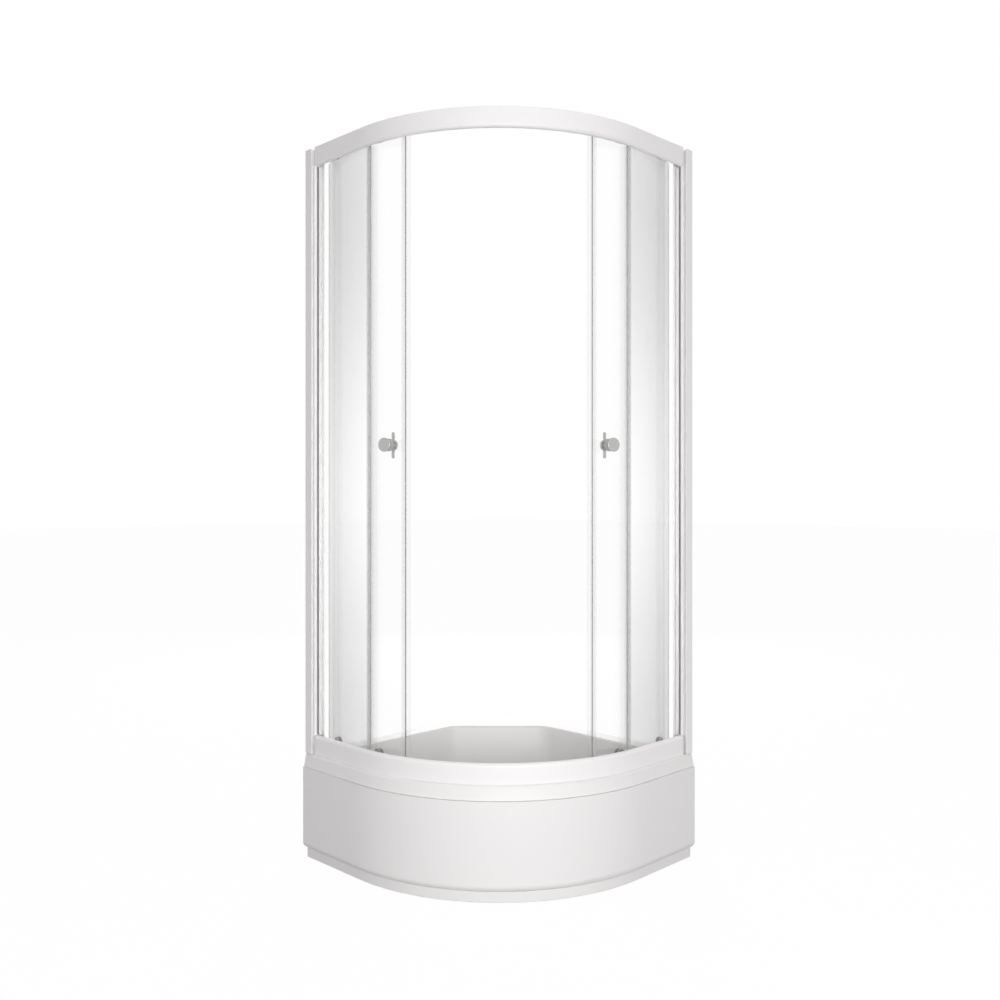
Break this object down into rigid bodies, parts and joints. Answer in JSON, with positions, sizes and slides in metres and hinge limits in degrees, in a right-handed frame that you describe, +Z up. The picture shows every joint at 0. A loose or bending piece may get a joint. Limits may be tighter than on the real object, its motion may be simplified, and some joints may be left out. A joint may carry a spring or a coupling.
{
  "type": "quadrant shower enclosure",
  "caption": "Quadrant shower enclosure with curved sliding glass doors between fixed glass sides, knob handles, white rails and wall posts, on a deep acrylic tray with a curved apron.",
  "frame": {"origin": "on the floor under the middle of the square plan", "axes": "+Z is up; the room's walls are at -X and +Y, and the curved front faces +X and -Y"},
  "size_m": [0.8, 0.8, 2.053],
  "materials": {
    "acrylic": "gloss",
    "white_frame": "satin",
    "clear_glass": "polished",
    "clear_seal": "satin",
    "dark_rubber": "matte",
    "satin_metal": "satin",
    "polished": "polished",
    "zinc": "satin",
    "grey_plastic": "satin",
    "roller_plastic": "satin",
    "dark_plastic": "matte",
    "pipe_plastic": "matte"
  },
  "bodies": {
    "surround": {"tray": "acrylic", "apron_panel": "acrylic", "apron_clips": "zinc", "support_frame": "zinc", "foot_rods": "zinc", "foot_nuts": "zinc", "foot_pads": "dark_plastic", "waste_trap": "pipe_plastic", "waste_flange": "polished", "waste_cover": "polished", "top_rail": "white_frame", "bottom_rail": "white_frame", "door_stops": "dark_rubber", "post_screws": "polished", "wall_channel_left": "white_frame", "wall_channel_right": "white_frame", "side_post_left": "white_frame", "side_post_right": "white_frame", "post_gasket_left": "dark_rubber", "post_gasket_right": "dark_rubber", "fixed_panel_left": "clear_glass", "fixed_panel_right": "clear_glass", "panel_seal_left": "clear_seal", "panel_seal_right": "clear_seal"},
    "door_left": {"door_glass_left": "clear_glass", "door_lead_seal_left": "clear_seal", "door_trail_seal_left": "clear_seal", "handle_bar_left": "satin_metal", "knob_rosette_left": "satin_metal", "knob_body_left": "satin_metal", "knob_cap_left": "satin_metal", "knob_screw_left": "satin_metal", "top_hangers_left": "grey_plastic", "bottom_carriers_left": "grey_plastic", "carrier_caps_left": "grey_plastic"},
    "top_lead_wheel_left": {"top_lead_wheel_left": "roller_plastic"},
    "top_trail_wheel_left": {"top_trail_wheel_left": "roller_plastic"},
    "bottom_lead_wheel_left": {"bottom_lead_wheel_left": "roller_plastic"},
    "bottom_trail_wheel_left": {"bottom_trail_wheel_left": "roller_plastic"},
    "door_right": {"door_glass_right": "clear_glass", "door_lead_seal_right": "clear_seal", "door_trail_seal_right": "clear_seal", "handle_bar_right": "satin_metal", "knob_rosette_right": "satin_metal", "knob_body_right": "satin_metal", "knob_cap_right": "satin_metal", "knob_screw_right": "satin_metal", "top_hangers_right": "grey_plastic", "bottom_carriers_right": "grey_plastic", "carrier_caps_right": "grey_plastic"},
    "top_lead_wheel_right": {"top_lead_wheel_right": "roller_plastic"},
    "top_trail_wheel_right": {"top_trail_wheel_right": "roller_plastic"},
    "bottom_lead_wheel_right": {"bottom_lead_wheel_right": "roller_plastic"},
    "bottom_trail_wheel_right": {"bottom_trail_wheel_right": "roller_plastic"}
  },
  "joints": [
    {"name": "door_left_travel", "type": "hinge", "parent": "surround", "child": "door_left", "pos_m": [-0.19298, 0.27236, 0], "axis": [0, 0, 1], "range_deg": [0, 23.09]},
    {"name": "top_lead_wheel_left_spin", "type": "hinge", "parent": "door_left", "child": "top_lead_wheel_left", "pos_m": [-0.11622, -0.34131, 2.036], "axis": [0.1733, -0.9849, 0], "range_deg": [-1301.65, 5]},
    {"name": "top_trail_wheel_left_spin", "type": "hinge", "parent": "door_left", "child": "top_trail_wheel_left", "pos_m": [-0.29444, -0.33988, 2.036], "axis": [-0.1891, -0.9819, 0], "range_deg": [-1307.29, 5]},
    {"name": "bottom_lead_wheel_left_spin", "type": "hinge", "parent": "door_left", "child": "bottom_lead_wheel_left", "pos_m": [-0.11461, -0.35047, 0.322], "axis": [0.1733, -0.9849, 0], "range_deg": [-1321.18, 5]},
    {"name": "bottom_trail_wheel_left_spin", "type": "hinge", "parent": "door_left", "child": "bottom_trail_wheel_left", "pos_m": [-0.29619, -0.34901, 0.322], "axis": [-0.1891, -0.9819, 0], "range_deg": [-1326.81, 5]},
    {"name": "door_right_travel", "type": "hinge", "parent": "surround", "child": "door_right", "pos_m": [-0.27236, 0.19298, 0], "axis": [0, 0, -1], "range_deg": [0, 23.09]},
    {"name": "top_lead_wheel_right_spin", "type": "hinge", "parent": "door_right", "child": "top_lead_wheel_right", "pos_m": [0.34131, 0.11622, 2.036], "axis": [0.9849, -0.1733, 0], "range_deg": [-5, 1301.65]},
    {"name": "top_trail_wheel_right_spin", "type": "hinge", "parent": "door_right", "child": "top_trail_wheel_right", "pos_m": [0.33988, 0.29444, 2.036], "axis": [0.9819, 0.1891, 0], "range_deg": [-5, 1307.29]},
    {"name": "bottom_lead_wheel_right_spin", "type": "hinge", "parent": "door_right", "child": "bottom_lead_wheel_right", "pos_m": [0.35047, 0.11461, 0.322], "axis": [0.9849, -0.1733, 0], "range_deg": [-5, 1321.18]},
    {"name": "bottom_trail_wheel_right_spin", "type": "hinge", "parent": "door_right", "child": "bottom_trail_wheel_right", "pos_m": [0.34901, 0.29619, 0.322], "axis": [0.9819, 0.1891, 0], "range_deg": [-5, 1326.81]}
  ],
  "couplings": [
    {"joint": "top_lead_wheel_left_spin", "follows": "door_left_travel", "ratio": -56.154},
    {"joint": "top_trail_wheel_left_spin", "follows": "door_left_travel", "ratio": -56.398},
    {"joint": "bottom_lead_wheel_left_spin", "follows": "door_left_travel", "ratio": -56.999},
    {"joint": "bottom_trail_wheel_left_spin", "follows": "door_left_travel", "ratio": -57.243},
    {"joint": "top_lead_wheel_right_spin", "follows": "door_right_travel", "ratio": 56.154},
    {"joint": "top_trail_wheel_right_spin", "follows": "door_right_travel", "ratio": 56.398},
    {"joint": "bottom_lead_wheel_right_spin", "follows": "door_right_travel", "ratio": 56.999},
    {"joint": "bottom_trail_wheel_right_spin", "follows": "door_right_travel", "ratio": 57.243}
  ]
}
